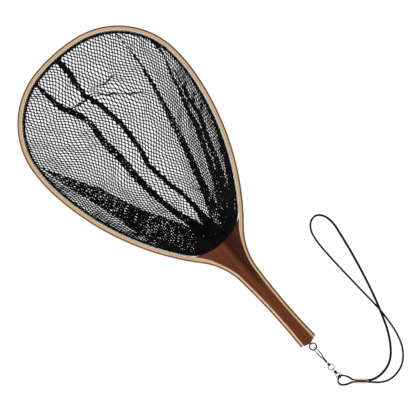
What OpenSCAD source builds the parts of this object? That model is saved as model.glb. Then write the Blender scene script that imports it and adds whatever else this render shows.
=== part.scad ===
// Laminated wooden landing net with a netting bag and a wrist lanyard.
// The wood lies in the XY plane: +Y runs from the butt to the far end of the hoop, +Z is the face
// the fish goes in by, and the bag hangs towards -Z. The origin is the tip of the butt, where the
// screw eye enters the wood, at the middle of the wood's depth. Millimetres.
//
// The outline is a chain of tangent arcs. "Heading" is the direction of travel along the right
// half of it: 0 at the far end, 90 where it runs straight back towards the butt.

/* [Hoop and handle] */
// Length of the wood, from the butt to the far end of the hoop
wood_l = 596; // [592:1:600]
// Width across the outside of the hoop
hoop_w = 291.6; // [288:0.4:296]
// Depth of the wood, front face to back face
wood_t = 14; // [10:0.5:18]
// Width of the grip at its waist
grip_w = 27.4; // [25:0.2:32]
// Height of the grip's waist above the butt
waist_y = 56; // [50:1:62]
// How far the tip of the butt stands out past its corners
butt_rise = 4.6; // [2:0.2:7]

/* [Outline arcs] */
// Radius of the far end
nose_r = 250; // [240:1:265]
// Radius of the shoulders
shoulder_r = 125; // [120:1:130]
// Radius of the sides at their widest
side_r = 248; // [240:1:256]
// Radius of the long flanks
flank_r = 420; // [410:1:430]
// Radius of the hollow where the flanks turn into the handle
throat_r = 105; // [100:1:110]
// Radius of the grip's slow waist
grip_r = 1070; // [1040:5:1100]
// Heading where shoulder meets side
side_heading = 85; // [84:0.1:86]
// Heading where throat meets grip
grip_heading = 94.6; // [94.2:0.1:95]

/* [Laminations] */
// Thickness of the dark outer strip
outer_t = 2.3; // [2:0.1:3]
// Thickness of the tan middle strip
middle_t = 3.3; // [2.4:0.1:4]
// Thickness of the pale inner strip
inner_t = 2.1; // [1.6:0.1:2.6]
// Radius of the handle core's hollow end
hollow_r = 81; // [76:1:88]
// Height of the bottom of that hollow above the butt
hollow_y = 204; // [200:1:208]

/* [Bag and lacing] */
// Depth of the bag below the middle of the hoop
bag_depth = 118; // [90:1:150]
// Height of the bag's deepest point above the butt
pocket_y = 305; // [285:1:330]
// Thickness of the closed shell that stands for the netting
bag_wall = 1.6; // [1.2:0.2:2.4]
// Radius of the cord along the bag's edge
rim_cord_r = 1.2; // [1:0.1:1.4]
// Width of the lacing groove round the outside of the hoop
groove_w = 2.2; // [1.8:0.1:3]
// Depth of that groove
groove_d = 1.6; // [1.6:0.05:1.8]
// Radius of the lacing holes
hole_r = 1; // [0.8:0.1:1.2]

/* [Lanyard] */
// Mean radius of the screw eye's ring
eye_r = 5.35; // [5.2:0.05:5.6]
// Radius of the screw eye's wire
eye_wire_r = 1; // [0.9:0.05:1]
// Radius of the snap's wire
snap_wire_r = 0.6; // [0.5:0.05:0.6]
// Mean radius of the link ring
ring_r = 4.7; // [4.6:0.1:4.9]
// Radius of the link ring's wire
ring_wire_r = 0.6; // [0.5:0.05:0.6]
// Radius of the wrist cord
cord_r = 1.2; // [1:0.05:1.2]
// Length of the crimp ferrule
ferrule_l = 19; // [16:0.5:20]
// How far the gate's tip swings when the snap opens, degrees
gate_travel = 16; // [8:1:18]

/* [Hidden] */

// ---- Vectors and curves ----

function unit(v) = v / norm(v);
function flat(lists) = [for (l = lists) each l];
function lift(points, z = 0) = [for (p = points) [p.x, p.y, z]];
function mirrored(points) = [for (i = [len(points) - 1:-1:0]) [-points[i].x, points[i].y]];
function normal_at(h) = [sin(h), cos(h)];
function mix(a, b, t) = a + (b - a) * t;

// Points on an arc of the outline. A negative radius is a hollow, seen from outside.
function arc(c, r, h0, h1, n) = [for (i = [0:n]) c + r * normal_at(mix(h0, h1, i / n))];

// Where two circles meet, on the side of c0 to c1 that lies to the left.
function meet_left(c0, r0, c1, r1) =
    let (d = norm(c1 - c0), u = unit(c1 - c0), a = (d * d + r0 * r0 - r1 * r1) / (2 * d),
         h = sqrt(r0 * r0 - a * a))
    c0 + a * u + h * [-u.y, u.x];

function bezier(a, b, c, n) =
    [for (i = [0:n]) let (t = i / n) mix(mix(a, b, t), mix(b, c, t), t)];

// Direction of a smooth curve where it passes its knot i
function heading_at(k, i) =
    let (back = k[i] - k[max(i - 1, 0)], ahead = k[min(i + 1, len(k) - 1)] - k[i])
    norm(back) == 0 ? unit(ahead) : norm(ahead) == 0 ? unit(back) : unit(unit(back) + unit(ahead));

// A smooth curve through knots, with n steps between neighbours. It is straight between two knots
// whose neighbours lie on the same line.
function spline(k, n) = flat([for (i = [0:len(k) - 2])
    let (p = k[i], q = k[i + 1], l = norm(q - p), u = l * heading_at(k, i), v = l * heading_at(k, i + 1))
    [for (j = [0:(i == len(k) - 2 ? n : n - 1)]) let (t = j / n)
        p + t * u + t * t * (3 * (q - p) - 2 * u - v) + t * t * t * (2 * (p - q) + u + v)]]);

// ---- The outline ----

side_c = [hoop_w / 2 - side_r, 0];
shoulder_dx = side_c.x + (side_r - shoulder_r) * sin(side_heading);
nose_heading = asin(shoulder_dx / (nose_r - shoulder_r));
nose_c = [0, wood_l - nose_r];
shoulder_c = nose_c + (nose_r - shoulder_r) * normal_at(nose_heading);
side_centre = shoulder_c - (side_r - shoulder_r) * normal_at(side_heading);
grip_c = [grip_w / 2 + grip_r, waist_y];
throat_c = grip_c - (grip_r - throat_r) * normal_at(grip_heading);
flank_c = meet_left(throat_c, flank_r + throat_r, side_centre, flank_r - side_r);
flank_heading = atan2(side_centre.x - flank_c.x, side_centre.y - flank_c.y);
throat_heading = atan2(throat_c.x - flank_c.x, throat_c.y - flank_c.y);
butt_heading = 86;

// Offsets of the glue lines from the outside of the wood
tan_d = outer_t;
pale_d = outer_t + middle_t;
inside_d = pale_d + inner_t;

// Right half of the hoop, far end to throat, at an offset d inside the wood's outer face
function hoop_side(d) = flat([
    arc(nose_c, nose_r - d, 0, nose_heading, 3),
    arc(shoulder_c, shoulder_r - d, nose_heading + 3, side_heading, 23),
    arc(side_centre, side_r - d, side_heading + 3, flank_heading, 4)]);
function flank_side(d, h_end) = arc(flank_c, flank_r - d, flank_heading + 1.5, h_end, 20);
throat_steps = 12;
function throat_point(d, i) =
    throat_c + (-throat_r - d) * normal_at(mix(throat_heading, grip_heading, i / throat_steps));
function handle_side(d, first = 1) = flat([
    [for (i = [first:throat_steps]) throat_point(d, i)],
    arc(grip_c, -grip_r - d, grip_heading - 1.5, butt_heading, 6)]);
function whole_side(d) = flat([hoop_side(d), flank_side(d, throat_heading), handle_side(d)]);

// The pale strip thins out to nothing in the throat, between the core and the tan strip.
feather_steps = 6;
function pale_feather() =
    [for (i = [1:feather_steps]) throat_point(mix(inside_d, pale_d, i / feather_steps), i)];

hollow_c = [0, hollow_y + hollow_r];

// Inside edge of the hoop and hollow as a closed loop, at an offset d from the outer face of the
// hoop and the same distance off the hollow
function opening_side(d) =
    let (gap = d - inside_d, r = hollow_r - gap, fr = flank_r - d,
         corner = meet_left(hollow_c, r, flank_c, fr),
         h = atan2(corner.x - flank_c.x, corner.y - flank_c.y),
         a = asin(corner.x / r), round_a = 8, round_h = 1.4)
    flat([
        arc(nose_c, nose_r - d, 0, nose_heading, 2),
        arc(shoulder_c, shoulder_r - d, nose_heading + 5, side_heading, 14),
        arc(side_centre, side_r - d, side_heading + 5, flank_heading, 2),
        arc(flank_c, fr, flank_heading + 3, h - round_h, 10),
        bezier(flank_c + fr * normal_at(h - round_h), corner,
               hollow_c + r * [sin(a - round_a), -cos(a - round_a)], 5),
        [for (i = [1:5]) let (b = (a - round_a) * (1 - i / 5)) hollow_c + r * [sin(b), -cos(b)]]]);
function opening_loop(d) =
    let (right = dedupe(opening_side(d)), n = len(right))
    concat(right, [for (i = [n - 2:-1:1]) [-right[i].x, right[i].y]]);
function dedupe(p) = [for (i = [0:len(p) - 1]) if (i == 0 || norm(p[i] - p[i - 1]) > 0.01) p[i]];

// ---- Tubes ----

// A round tube along a path; a closed path joins its end to its start.
module tube(path, r, sides = 8, closed = false, seed = [0, 0, 1]) {
    n = len(path);
    t = [for (i = [0:n - 1])
        unit(closed ? path[(i + 1) % n] - path[(i + n - 1) % n]
                    : path[min(i + 1, n - 1)] - path[max(i - 1, 0)])];
    across = [for (i = 0, v = unit(seed - (seed * t[0]) * t[0]); i < n;
                   i = i + 1, v = i < n ? unit(v - (v * t[i]) * t[i]) : v) v];
    points = [for (i = [0:n - 1], j = [0:sides - 1]) let (a = 360 * j / sides)
        path[i] + r * (cos(a) * across[i] + sin(a) * cross(t[i], across[i]))];
    walls = [for (i = [0:(closed ? n - 1 : n - 2)], j = [0:sides - 1])
        let (k = (i + 1) % n, m = (j + 1) % sides)
        each [[i * sides + j, k * sides + j, k * sides + m],
              [i * sides + j, k * sides + m, i * sides + m]]];
    ends = closed ? [] : [[for (j = [0:sides - 1]) j], [for (j = [sides - 1:-1:0]) (n - 1) * sides + j]];
    polyhedron(points, concat(walls, ends), convexity = 6);
}

// Turns a part drawn along +Z so that it points down the lanyard, towards -Y.
module down_chain(y) { translate([0, y, 0]) rotate([90, 0, 0]) children(); }

// ---- Wood ----

module slab(right) {
    translate([0, 0, -wood_t / 2]) linear_extrude(wood_t)
        polygon(concat(mirrored(right), right));
}

// A strip between two offsets, all round the hoop and down both sides of the handle
module strip(d_out, d_in) {
    out = whole_side(d_out);
    in = whole_side(d_in);
    translate([0, 0, -wood_t / 2]) linear_extrude(wood_t)
        polygon(concat(mirrored(out), [for (i = [1:len(out) - 1]) out[i]],
                       [for (i = [len(in) - 1:-1:0]) in[i]],
                       [for (i = [1:len(in) - 1]) [-in[i].x, in[i].y]]));
}

// Everything below the butt's two slanting faces
module below_butt() {
    w = grip_w;
    translate([0, 0, -wood_t]) linear_extrude(2 * wood_t)
        polygon([[-w, -w], [w, -w], [w, butt_rise * 2], [0, 0], [-w, butt_rise * 2]]);
}

// Stations of the lacing: centre, radius and heading of each hole on the right half
lacing_end = throat_heading - 3;
stations = flat([
    [[nose_c, nose_r, nose_heading * 0.6]],
    [for (i = [0:6]) [shoulder_c, shoulder_r, mix(nose_heading, side_heading, (i + 0.5) / 7)]],
    [for (i = [0:1]) [side_centre, side_r, mix(side_heading, flank_heading, (i + 0.5) / 2)]],
    [for (i = [0:10]) [flank_c, flank_r, mix(flank_heading, lacing_end, (i + 0.5) / 11)]]]);

// Puts its children at every station, +Y pointing straight out of the hoop from its outer face.
module at_stations() {
    translate([0, wood_l, 0]) children();
    for (side = [0, 1], s = stations) mirror([side, 0, 0])
        translate([s[0].x, s[0].y, 0]) rotate(-s[2]) translate([0, s[1], 0]) children();
}

module lacing_holes() {
    at_stations() rotate([90, 0, 0]) cylinder(r = hole_r, h = 3 * inside_d, center = true, $fn = 24);
}

module groove() {
    out = concat(hoop_side(-1), flank_side(-1, lacing_end));
    in = concat(hoop_side(groove_d), flank_side(groove_d, lacing_end));
    translate([0, 0, -groove_w / 2]) linear_extrude(groove_w)
        polygon(concat(mirrored(out), [for (i = [1:len(out) - 1]) out[i]],
                       [for (i = [len(in) - 1:-1:0]) in[i]],
                       [for (i = [1:len(in) - 1]) [-in[i].x, in[i].y]]));
}

module outer_lamination() {
    color("#5a3418") difference() {
        strip(0, tan_d);
        below_butt();
        groove();
        lacing_holes();
    }
}

module middle_lamination() {
    color("#d0aa72") difference() {
        strip(tan_d, pale_d);
        below_butt();
        lacing_holes();
    }
}

module inner_lamination() {
    out = concat(hoop_side(pale_d), flank_side(pale_d, throat_heading),
                 [for (i = [1:feather_steps]) throat_point(pale_d, i)]);
    in = concat(hoop_side(inside_d), flank_side(inside_d, throat_heading), pale_feather());
    color("#e9dcbf") difference() {
        translate([0, 0, -wood_t / 2]) linear_extrude(wood_t)
            polygon(concat(mirrored(out), [for (i = [1:len(out) - 1]) out[i]],
                           [for (i = [len(in) - 2:-1:0]) in[i]],
                           [for (i = [1:len(in) - 2]) [-in[i].x, in[i].y]]));
        lacing_holes();
    }
}

pilot_r = 1.5;
pilot_l = 26;
module handle_core() {
    flank = flank_side(inside_d, throat_heading);
    right = concat([for (i = [len(flank) - 6:len(flank) - 1]) flank[i]],
                   pale_feather(), handle_side(pale_d, feather_steps + 1));
    color("#6b3420") difference() {
        slab(right);
        translate([hollow_c.x, hollow_c.y, -wood_t]) cylinder(r = hollow_r, h = 2 * wood_t, $fn = 180);
        below_butt();
        translate([0, pilot_l, 0]) rotate([90, 0, 0]) cylinder(r = pilot_r, h = 2 * pilot_l, $fn = 32);
    }
}

// ---- Bag and lacing ----

rim_gap = 2.6;
rim_d = inside_d + rim_gap;
tie_r = 0.45;
tie_ring_r = rim_cord_r + 0.3 + tie_r;
bag_d = rim_d + tie_ring_r + tie_r + 0.4;

module rim_cord() {
    color("#141416") tube(lift(opening_loop(rim_d)), rim_cord_r, closed = true);
}

module lacing_cord() {
    d = groove_d / 2;
    right = concat(hoop_side(d), flank_side(d, lacing_end - 0.3));
    path = concat(mirrored(right), [for (i = [1:len(right) - 1]) right[i]]);
    color("#1b1b1d") tube(lift(path), d - 0.1);
}

// One tie at each hole: a leg through the wood and a ring round the rim cord
module lacing_loops() {
    leg_out = groove_d + 0.1;
    leg_in = rim_d - tie_ring_r;
    color("#1b1b1d") at_stations() {
        translate([0, -leg_out, 0]) rotate([90, 0, 0])
            cylinder(r = tie_r, h = leg_in - leg_out, $fn = 24);
        translate([0, -rim_d, 0]) rotate([0, 90, 0]) rotate_extrude($fn = 36)
            translate([tie_ring_r, 0]) circle(r = tie_r, $fn = 20);
    }
}

// The bag is a skewed pocket: level loops shrink from the rim towards the pocket's lowest point.
bag_loops = 12;
bag_round = 1.4;
module net_bag() {
    function skin(d, depth) =
        let (rim = opening_loop(d), c = [0, pocket_y])
        concat([for (j = [0:bag_loops - 1]) let (s = 1 - j / bag_loops)
                each [for (p = rim) let (q = mix(c, p, s)) [q.x, q.y, -depth * (1 - pow(s, bag_round))]]],
               [[c.x, c.y, -depth]]);
    outside = skin(bag_d, bag_depth);
    inside = skin(bag_d + bag_wall, bag_depth - bag_wall);
    n = len(opening_loop(bag_d));
    b = len(outside);
    tip = b - 1;
    faces = [for (i = [0:n - 1]) let (k = (i + 1) % n) each concat(
        [for (j = [0:bag_loops - 2]) let (p = j * n + i, q = j * n + k) each [
            [p, p + n, q + n], [p, q + n, q],
            [b + p, b + q + n, b + p + n], [b + p, b + q, b + q + n]]],
        let (p = (bag_loops - 1) * n + i, q = (bag_loops - 1) * n + k)
        [[p, tip, q], [b + p, b + q, b + tip], [i, k, b + k], [i, b + k, b + i]])];
    color("#202024") polyhedron(concat(outside, inside), faces, convexity = 10);
}

// ---- Lanyard ----

eye_y = -6.6;
snap_y = eye_y - eye_r;
barrel_y = -31;
barrel_l = 7.6;
barrel_r = 1.6;
pin_r = 0.6;
pin_head_r = 1.05;
run = 0.06;
block_y = -41;
block_l = 5.2;
block_r = 1.95;
ring_near_y = -44.2;
ring_y = ring_near_y - ring_r;
rear_eye_y = ring_y - ring_r - 0.3;
drum_y = -56.8;
drum_l = 3.4;
drum_r = 2.6;
lug_y = -61.4;
lug_r = 1.3;
bar_y = -68.4;

module screw_eye() {
    thread_l = 22;
    thread_r = 1.35;
    core_r = 0.95;
    turns = 9;
    thread = concat([[0, -1]],
        [for (i = [0:turns - 1])
            each [[core_r, thread_l * i / turns], [thread_r, thread_l * (i + 0.5) / turns]]],
        [[core_r, thread_l], [0, thread_l + 2]]);
    color("#3b3c40") {
        translate([0, eye_y, 0]) rotate_extrude($fn = 64)
            translate([eye_r, 0]) circle(r = eye_wire_r, $fn = 28);
        translate([0, -0.3, 0]) rotate([-90, 0, 0]) rotate_extrude($fn = 40) polygon(thread);
    }
}

// The snap's plane is rolled about the lanyard, so one wire passes over the eye and one under it.
snap_roll = 45;
snap_r = 2.97;
snap_root = 0.95;
bend_y = -24;
module in_snap_plane() { rotate([0, snap_roll, 0]) children(); }

// One leg of the snap, from the barrel's mouth out to its full width
function snap_leg(y) = bezier([snap_root, y, 0], [snap_r, bend_y - 2, 0], [snap_r, bend_y + 2.5, 0], 6);

module snap_hook() {
    path = flat([
        [[snap_root, barrel_y - 2.2, 0], [snap_root, barrel_y, 0]],
        snap_leg(barrel_y + 1),
        [for (i = [0:18]) let (a = 10 * i) [snap_r * cos(a), snap_y + snap_r * sin(a), 0]],
        [[-snap_r, snap_y - 0.8, 0]]]);
    color("#191a1c") in_snap_plane() tube(path, snap_wire_r, sides = 10);
}

gate_root_y = barrel_y + 0.3;
module snap_gate() {
    path = flat([
        [[-snap_root, gate_root_y, 0]],
        [for (p = snap_leg(gate_root_y + 0.7)) [-p.x, p.y, 0]],
        [[-snap_r, snap_y - 1.1, 0]]]);
    color("#2a2b2e") in_snap_plane() tube(path, snap_wire_r, sides = 10);
}

module swivel_barrel() {
    shell = [[0, 0], [barrel_r - 0.3, 0], [barrel_r, 0.4], [barrel_r, 3], [barrel_r - 0.2, 3.3],
             [barrel_r, 3.6], [barrel_r, barrel_l - 0.5], [barrel_r - 0.4, barrel_l],
             [pin_r + run, barrel_l], [pin_r + run, barrel_l - 1.2],
             [pin_head_r + run, barrel_l - 1.2], [pin_head_r + run, barrel_l - 3.2],
             [0, barrel_l - 3.2]];
    color("#16171a") difference() {
        down_chain(barrel_y) rotate_extrude($fn = 48) polygon(shell);
        in_snap_plane() translate([snap_root, barrel_y - 2.3, 0]) rotate([-90, 0, 0])
            cylinder(r = snap_wire_r + 0.05, h = 4, $fn = 24);
    }
}

module swivel_pin() {
    head_y = barrel_y - barrel_l + 3;
    head_l = 1.6;
    pin_l = head_y - block_y + 1.4;
    color("#b9bcc2") down_chain(head_y) rotate_extrude($fn = 40)
        polygon([[0, 0], [pin_head_r, 0], [pin_head_r, head_l], [pin_r, head_l],
                 [pin_r, pin_l], [0, pin_l]]);
}

module swivel_eye_block() {
    color("#121315") difference() {
        down_chain(block_y) rotate_extrude($fn = 48)
            polygon([[0, 0], [block_r - 0.4, 0], [block_r, 0.5], [block_r, block_l - 1],
                     [block_r - 0.9, block_l], [0, block_l]]);
        translate([0, ring_near_y, 0]) rotate([0, 90, 0])
            cylinder(r = 2 * ring_wire_r - 0.05, h = 3 * block_r, center = true, $fn = 40);
        down_chain(block_y) translate([0, 0, -1]) cylinder(r = pin_r, h = 2.4, $fn = 32);
    }
}

module link_ring() {
    color("#c9ccd1") translate([0, ring_y, 0]) rotate_extrude($fn = 64)
        translate([ring_r, 0]) circle(r = ring_wire_r, $fn = 24);
}

rear_wire_r = 0.5;
rear_hole_r = 1;
module rear_swivel_eye() {
    shank_y = rear_eye_y - rear_hole_r - 2 * rear_wire_r + 0.2;
    head_r = 1.5;
    head_l = 1;
    neck_l = shank_y - drum_y + 1.2;
    color("#17181b") {
        translate([0, rear_eye_y, 0]) rotate([0, 90, 0]) rotate_extrude($fn = 48)
            translate([rear_hole_r + rear_wire_r, 0]) circle(r = rear_wire_r, $fn = 24);
        down_chain(shank_y) rotate_extrude($fn = 40)
            polygon([[0, 0], [pin_r, 0], [pin_r, neck_l], [head_r, neck_l], [head_r, neck_l + head_l],
                     [0, neck_l + head_l]]);
    }
}

module rear_swivel_barrel() {
    cavity_r = 1.5 + run;
    end_r = 1.7;
    wall = 0.9;
    lug_l = 2.6;
    shell = [[pin_r + run, 0], [end_r, 0], [drum_r, wall], [drum_r, drum_l - wall], [end_r, drum_l],
             [lug_r, drum_l], [lug_r, drum_l + lug_l - 0.4], [wall, drum_l + lug_l],
             [0, drum_l + lug_l], [0, drum_l - wall],
             [cavity_r, drum_l - wall], [cavity_r, 1], [pin_r + run, 1]];
    color("#141518") difference() {
        down_chain(drum_y) rotate_extrude($fn = 48) polygon(shell);
        translate([0, lug_y, 0]) rotate([0, 90, 0])
            cylinder(r = link_wire_r + 0.1, h = 3 * lug_r, center = true, $fn = 32);
    }
}

link_wire_r = 0.55;
link_top = 2.1;
link_base = 4.8;
module triangle_link() {
    round = 1.2;
    right = flat([
        [[1, lug_y]],
        bezier([link_top - 0.5, lug_y], [link_top + 0.3, lug_y], [link_top + 0.6, lug_y - 1.2], 4),
        bezier([link_base - 0.5, bar_y + round + 0.3], [link_base, bar_y], [link_base - round, bar_y], 5),
        [[2, bar_y], [0, bar_y]]]);
    left = [for (i = [len(right) - 2:-1:0]) [-right[i].x, right[i].y]];
    color("#aeb1b6") tube(lift(concat(right, left)), link_wire_r, sides = 10, closed = true);
}

// The ferrule's middle, and the way the two strands run through it, one each side of its middle
ferrule_p = [20.2, -95.3];
ferrule_a = -41.5;
ferrule_u = [cos(ferrule_a), sin(ferrule_a)];
ferrule_n = [-sin(ferrule_a), cos(ferrule_a)];
lane = 1.6;
function in_ferrule(along, side) =
    let (p = ferrule_p + ferrule_u * along + ferrule_n * side * lane)
    [p.x, p.y, 0];

module crimp_ferrule() {
    lobe_r = 2.3;
    hole = cord_r + 0.08;
    color("#c8a24a") translate([ferrule_p.x, ferrule_p.y, 0]) rotate(ferrule_a) rotate([0, 90, 0])
        difference() {
            for (s = [-lane, lane]) translate([0, s, 0])
                cylinder(r = lobe_r, h = ferrule_l, center = true, $fn = 48);
            for (s = [-lane, lane]) translate([0, s, 0])
                cylinder(r = hole, h = 2 * ferrule_l, center = true, $fn = 32);
        }
}

// One cord. It leaves the ferrule, goes round the wrist loop and back through the ferrule, then
// takes a turn and a half round the link's bar. Its ends meet inside the ferrule. Where the wrist
// loop crosses itself, one strand passes over the other.
module wrist_cord() {
    over = cord_r + 0.3;
    coil_r = link_wire_r + cord_r + 0.15;
    coil_pitch = 2 * cord_r + 0.12;
    half = ferrule_l / 2;
    coil = [for (i = [0:9]) let (a = 90 - 60 * i, x = coil_pitch * (i / 6 - 0.75))
        [x, bar_y + coil_r * cos(a), coil_r * sin(a)]];
    wrist_out = [
        in_ferrule(half + 0.5, 1), in_ferrule(half + 5, 1),
        [44, -107.7, 0], [61.8, -106.5, 0], [77, -99.2, 0], [92.3, -82, 0], [103.9, -61.3, over / 3],
        [112, -40.5, over], [115.6, -30.5, over], [121, -14.5, 0.7 * over], [132.4, 26.8, 0],
        [140.2, 61, 0], [146.8, 96.4, 0], [149.4, 116, 0], [146.5, 132, 0]];
    wrist_back = [
        [137.5, 141.6, 0], [126.5, 140.6, 0], [117.2, 131, 0], [112.4, 112, 0], [111.5, 85, 0],
        [113.1, 23, -over / 3], [114.5, -12, -over], [115.1, -31, -over], [114.2, -48, -0.7 * over],
        [110.2, -77, 0], [101.4, -100.3, 0], [85.5, -117.2, 0], [69, -123, 0], [54, -122.6, 0],
        [41.5, -116.6, 0], in_ferrule(half + 5, -1), in_ferrule(half + 0.5, -1)];
    to_coil = [
        in_ferrule(-half - 0.5, -1), in_ferrule(-half - 3, -1),
        [4, -86, 0.2], [-4, -81.8, 0.8], [-7.6, -76, 1.4], [-5.4, -70.6, 2]];
    from_coil = [
        [5.4, -71, -1.8], [10.2, -79, -0.6],
        in_ferrule(-half - 3, 1), in_ferrule(-half - 0.5, 1)];
    path = spline(concat([in_ferrule(0.3, 1)], wrist_out, wrist_back, to_coil, coil, from_coil,
                         [in_ferrule(-0.3, 1)]), 5);
    color("#101012") tube(path, cord_r);
}

handle_core();
outer_lamination();
middle_lamination();
inner_lamination();
net_bag();
rim_cord();
lacing_cord();
lacing_loops();
screw_eye();
snap_hook();
snap_gate();
swivel_barrel();
swivel_pin();
swivel_eye_block();
link_ring();
rear_swivel_eye();
rear_swivel_barrel();
triangle_link();
crimp_ferrule();
wrist_cord();
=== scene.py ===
"""Looks of the landing net: laminated wood, strand-by-strand netting, cords and small metal fittings.

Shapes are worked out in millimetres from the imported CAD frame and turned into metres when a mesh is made.
The frame's axes: +Y runs from the butt to the far end of the hoop, +Z is the face the fish goes in by,
and the bag hangs towards -Z.
"""

import math

import bpy
import numpy as np
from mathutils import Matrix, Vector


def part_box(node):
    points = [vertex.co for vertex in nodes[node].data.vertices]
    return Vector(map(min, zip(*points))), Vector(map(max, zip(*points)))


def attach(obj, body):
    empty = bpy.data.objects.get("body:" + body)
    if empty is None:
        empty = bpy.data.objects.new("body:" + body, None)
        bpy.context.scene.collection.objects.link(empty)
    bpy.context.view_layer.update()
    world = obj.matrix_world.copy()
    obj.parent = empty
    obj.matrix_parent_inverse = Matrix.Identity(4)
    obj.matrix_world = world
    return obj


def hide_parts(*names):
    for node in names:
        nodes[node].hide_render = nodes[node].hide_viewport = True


MM = 0.001
WELD = 0.002  # vertices of a CAD mesh closer than this, in mm, are one

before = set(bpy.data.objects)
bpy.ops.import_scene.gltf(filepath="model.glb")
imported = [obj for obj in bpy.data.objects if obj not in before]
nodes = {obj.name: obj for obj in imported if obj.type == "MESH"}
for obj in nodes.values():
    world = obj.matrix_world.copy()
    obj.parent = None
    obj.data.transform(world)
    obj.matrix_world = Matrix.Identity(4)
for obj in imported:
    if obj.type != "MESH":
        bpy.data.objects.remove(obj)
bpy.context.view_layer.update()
rng = np.random.default_rng(11)


# ---- Numbers and curves ----

def smooth_step(x, start, end):
    """0 before start, 1 after end, and a smooth rise between."""
    t = np.clip((np.asarray(x, float) - start) / (end - start), 0, 1)
    return t * t * (3 - 2 * t)


def mix(a, b, t):
    return a + (b - a) * t


def unit(v):
    return v / np.maximum(np.linalg.norm(v, axis=-1, keepdims=True), 1e-9)


def arc_length(points):
    return np.concatenate([[0], np.cumsum(np.linalg.norm(np.diff(points, axis=0), axis=1))])


def smooth_path(points, step, closed=False):
    """A smooth curve through the points, sampled about every step."""
    p = np.asarray(points, float)
    if closed:
        p = np.vstack([p[-1:], p, p[:2]])
    legs = unit(np.diff(p, axis=0))
    heading = unit(np.vstack([legs[:1], legs[:-1] + legs[1:], legs[-1:]]))
    out = []
    span = range(1, len(p) - 2) if closed else range(len(p) - 1)
    for i in span:
        chord = p[i + 1] - p[i]
        length = np.linalg.norm(chord)
        count = max(1, math.ceil(length / step))
        t = (np.arange(count) / count)[:, None]
        u, v = length * heading[i], length * heading[i + 1]
        out.append(p[i] + t * u + t**2 * (3 * chord - 2 * u - v) + t**3 * (u + v - 2 * chord))
    if not closed:
        out.append(p[-1:])
    return np.vstack(out)


def slow_noise(x, y, wave, seed):
    """Slow, smooth variation between about -1 and 1, the same each time for one seed."""
    local = np.random.default_rng(seed)
    total = np.zeros(np.broadcast(x, y).shape)
    for _ in range(6):
        angle, phase = local.uniform(0, 2 * math.pi, 2)
        k = 2 * math.pi / (wave * local.uniform(0.6, 1.6))
        total = total + np.sin(k * (x * math.cos(angle) + y * math.sin(angle)) + phase)
    return total / 3


# ---- Reading shapes from the frame ----

def box_mm(name):
    """A CAD node's lowest and highest corners, in millimetres."""
    low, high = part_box(name)
    return np.array(low) / MM, np.array(high) / MM


def welded(name):
    """A CAD node's vertices in millimetres, each place once, and its triangles."""
    mesh = nodes[name].data
    co = np.empty(len(mesh.vertices) * 3, np.float32)
    mesh.vertices.foreach_get("co", co)
    co = co.reshape(-1, 3).astype(float) / MM
    mesh.calc_loop_triangles()
    tris = np.empty(len(mesh.loop_triangles) * 3, np.int32)
    mesh.loop_triangles.foreach_get("vertices", tris)
    cell = np.round(co / WELD).astype(int)
    _, first, place = np.unique(cell, axis=0, return_index=True, return_inverse=True)
    return co[first], place.ravel()[tris].reshape(-1, 3)


def neighbours(tris, count):
    """For each vertex, the vertices it shares an edge with."""
    near = [set() for _ in range(count)]
    for a, b, c in tris.tolist():
        near[a].update((b, c))
        near[b].update((a, c))
        near[c].update((a, b))
    return near


def top_loop(name):
    """The closed outline of a CAD node's top face, as an ordered list of XY points."""
    points, tris = welded(name)
    top = tris[(points[tris][:, :, 2] > points[:, 2].max() - 0.01).all(axis=1)]
    seen = {}
    for a, b, c in top.tolist():
        for edge in ((a, b), (b, c), (c, a)):
            key = tuple(sorted(edge))
            seen[key] = seen.get(key, 0) + 1
    links = {}
    for (a, b), times in seen.items():
        if times == 1:
            links.setdefault(a, []).append(b)
            links.setdefault(b, []).append(a)
    start = min(links)
    loop, last = [start], None
    while True:
        ahead = [n for n in links[loop[-1]] if n != last]
        last = loop[-1]
        if ahead[0] == start and len(loop) > 2:
            break
        loop.append(ahead[0])
    return points[loop][:, :2]


def ring_centres(points, near, ring, allowed):
    """Middles of the rings of a tube's vertices, one after the other, starting from one ring."""
    seen = set(ring)
    level = list(ring)
    centres = []
    while level:
        centres.append(points[level].mean(axis=0))
        level = sorted({n for v in level for n in near[v] if n not in seen and allowed[n]})
        seen.update(level)
    return np.array(centres)


def open_tube_line(name):
    """Centre line of a CAD tube with two ends, found from the flat cap at one end."""
    points, tris = welded(name)
    corner = points[tris]
    normal = unit(np.cross(corner[:, 1] - corner[:, 0], corner[:, 2] - corner[:, 0]))
    groups = {}
    for i, (n, p) in enumerate(zip(normal, corner[:, 0])):
        groups.setdefault(tuple(np.round([*n, n @ p], 2) + 0.0), []).append(i)
    cap = max(groups.values(), key=len)
    ring = sorted({int(v) for i in cap for v in tris[i]})
    return ring_centres(points, neighbours(tris, len(points)), ring, np.ones(len(points), bool))


def rim_line():
    """The rim cord's centre line on the +X side, from the far end round to the handle."""
    points, tris = welded("rim_cord")
    middle = points[:, 1].mean()
    ring = np.nonzero((abs(points[:, 0]) < 0.01) & (points[:, 1] > middle))[0].tolist()
    line = ring_centres(points, neighbours(tris, len(points)), ring, points[:, 0] > -0.01)
    line[0, 0] = line[-1, 0] = 0
    return line


def separate_solids(name):
    """Vertex groups of a CAD node that is made of several solids."""
    points, tris = welded(name)
    near = neighbours(tris, len(points))
    left = set(range(len(points)))
    groups = []
    while left:
        level = [left.pop()]
        group = list(level)
        while level:
            level = [n for n in {n for v in level for n in near[v]} if n in left]
            left.difference_update(level)
            group += level
        groups.append(points[group])
    return groups


# ---- Making meshes ----

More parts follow.
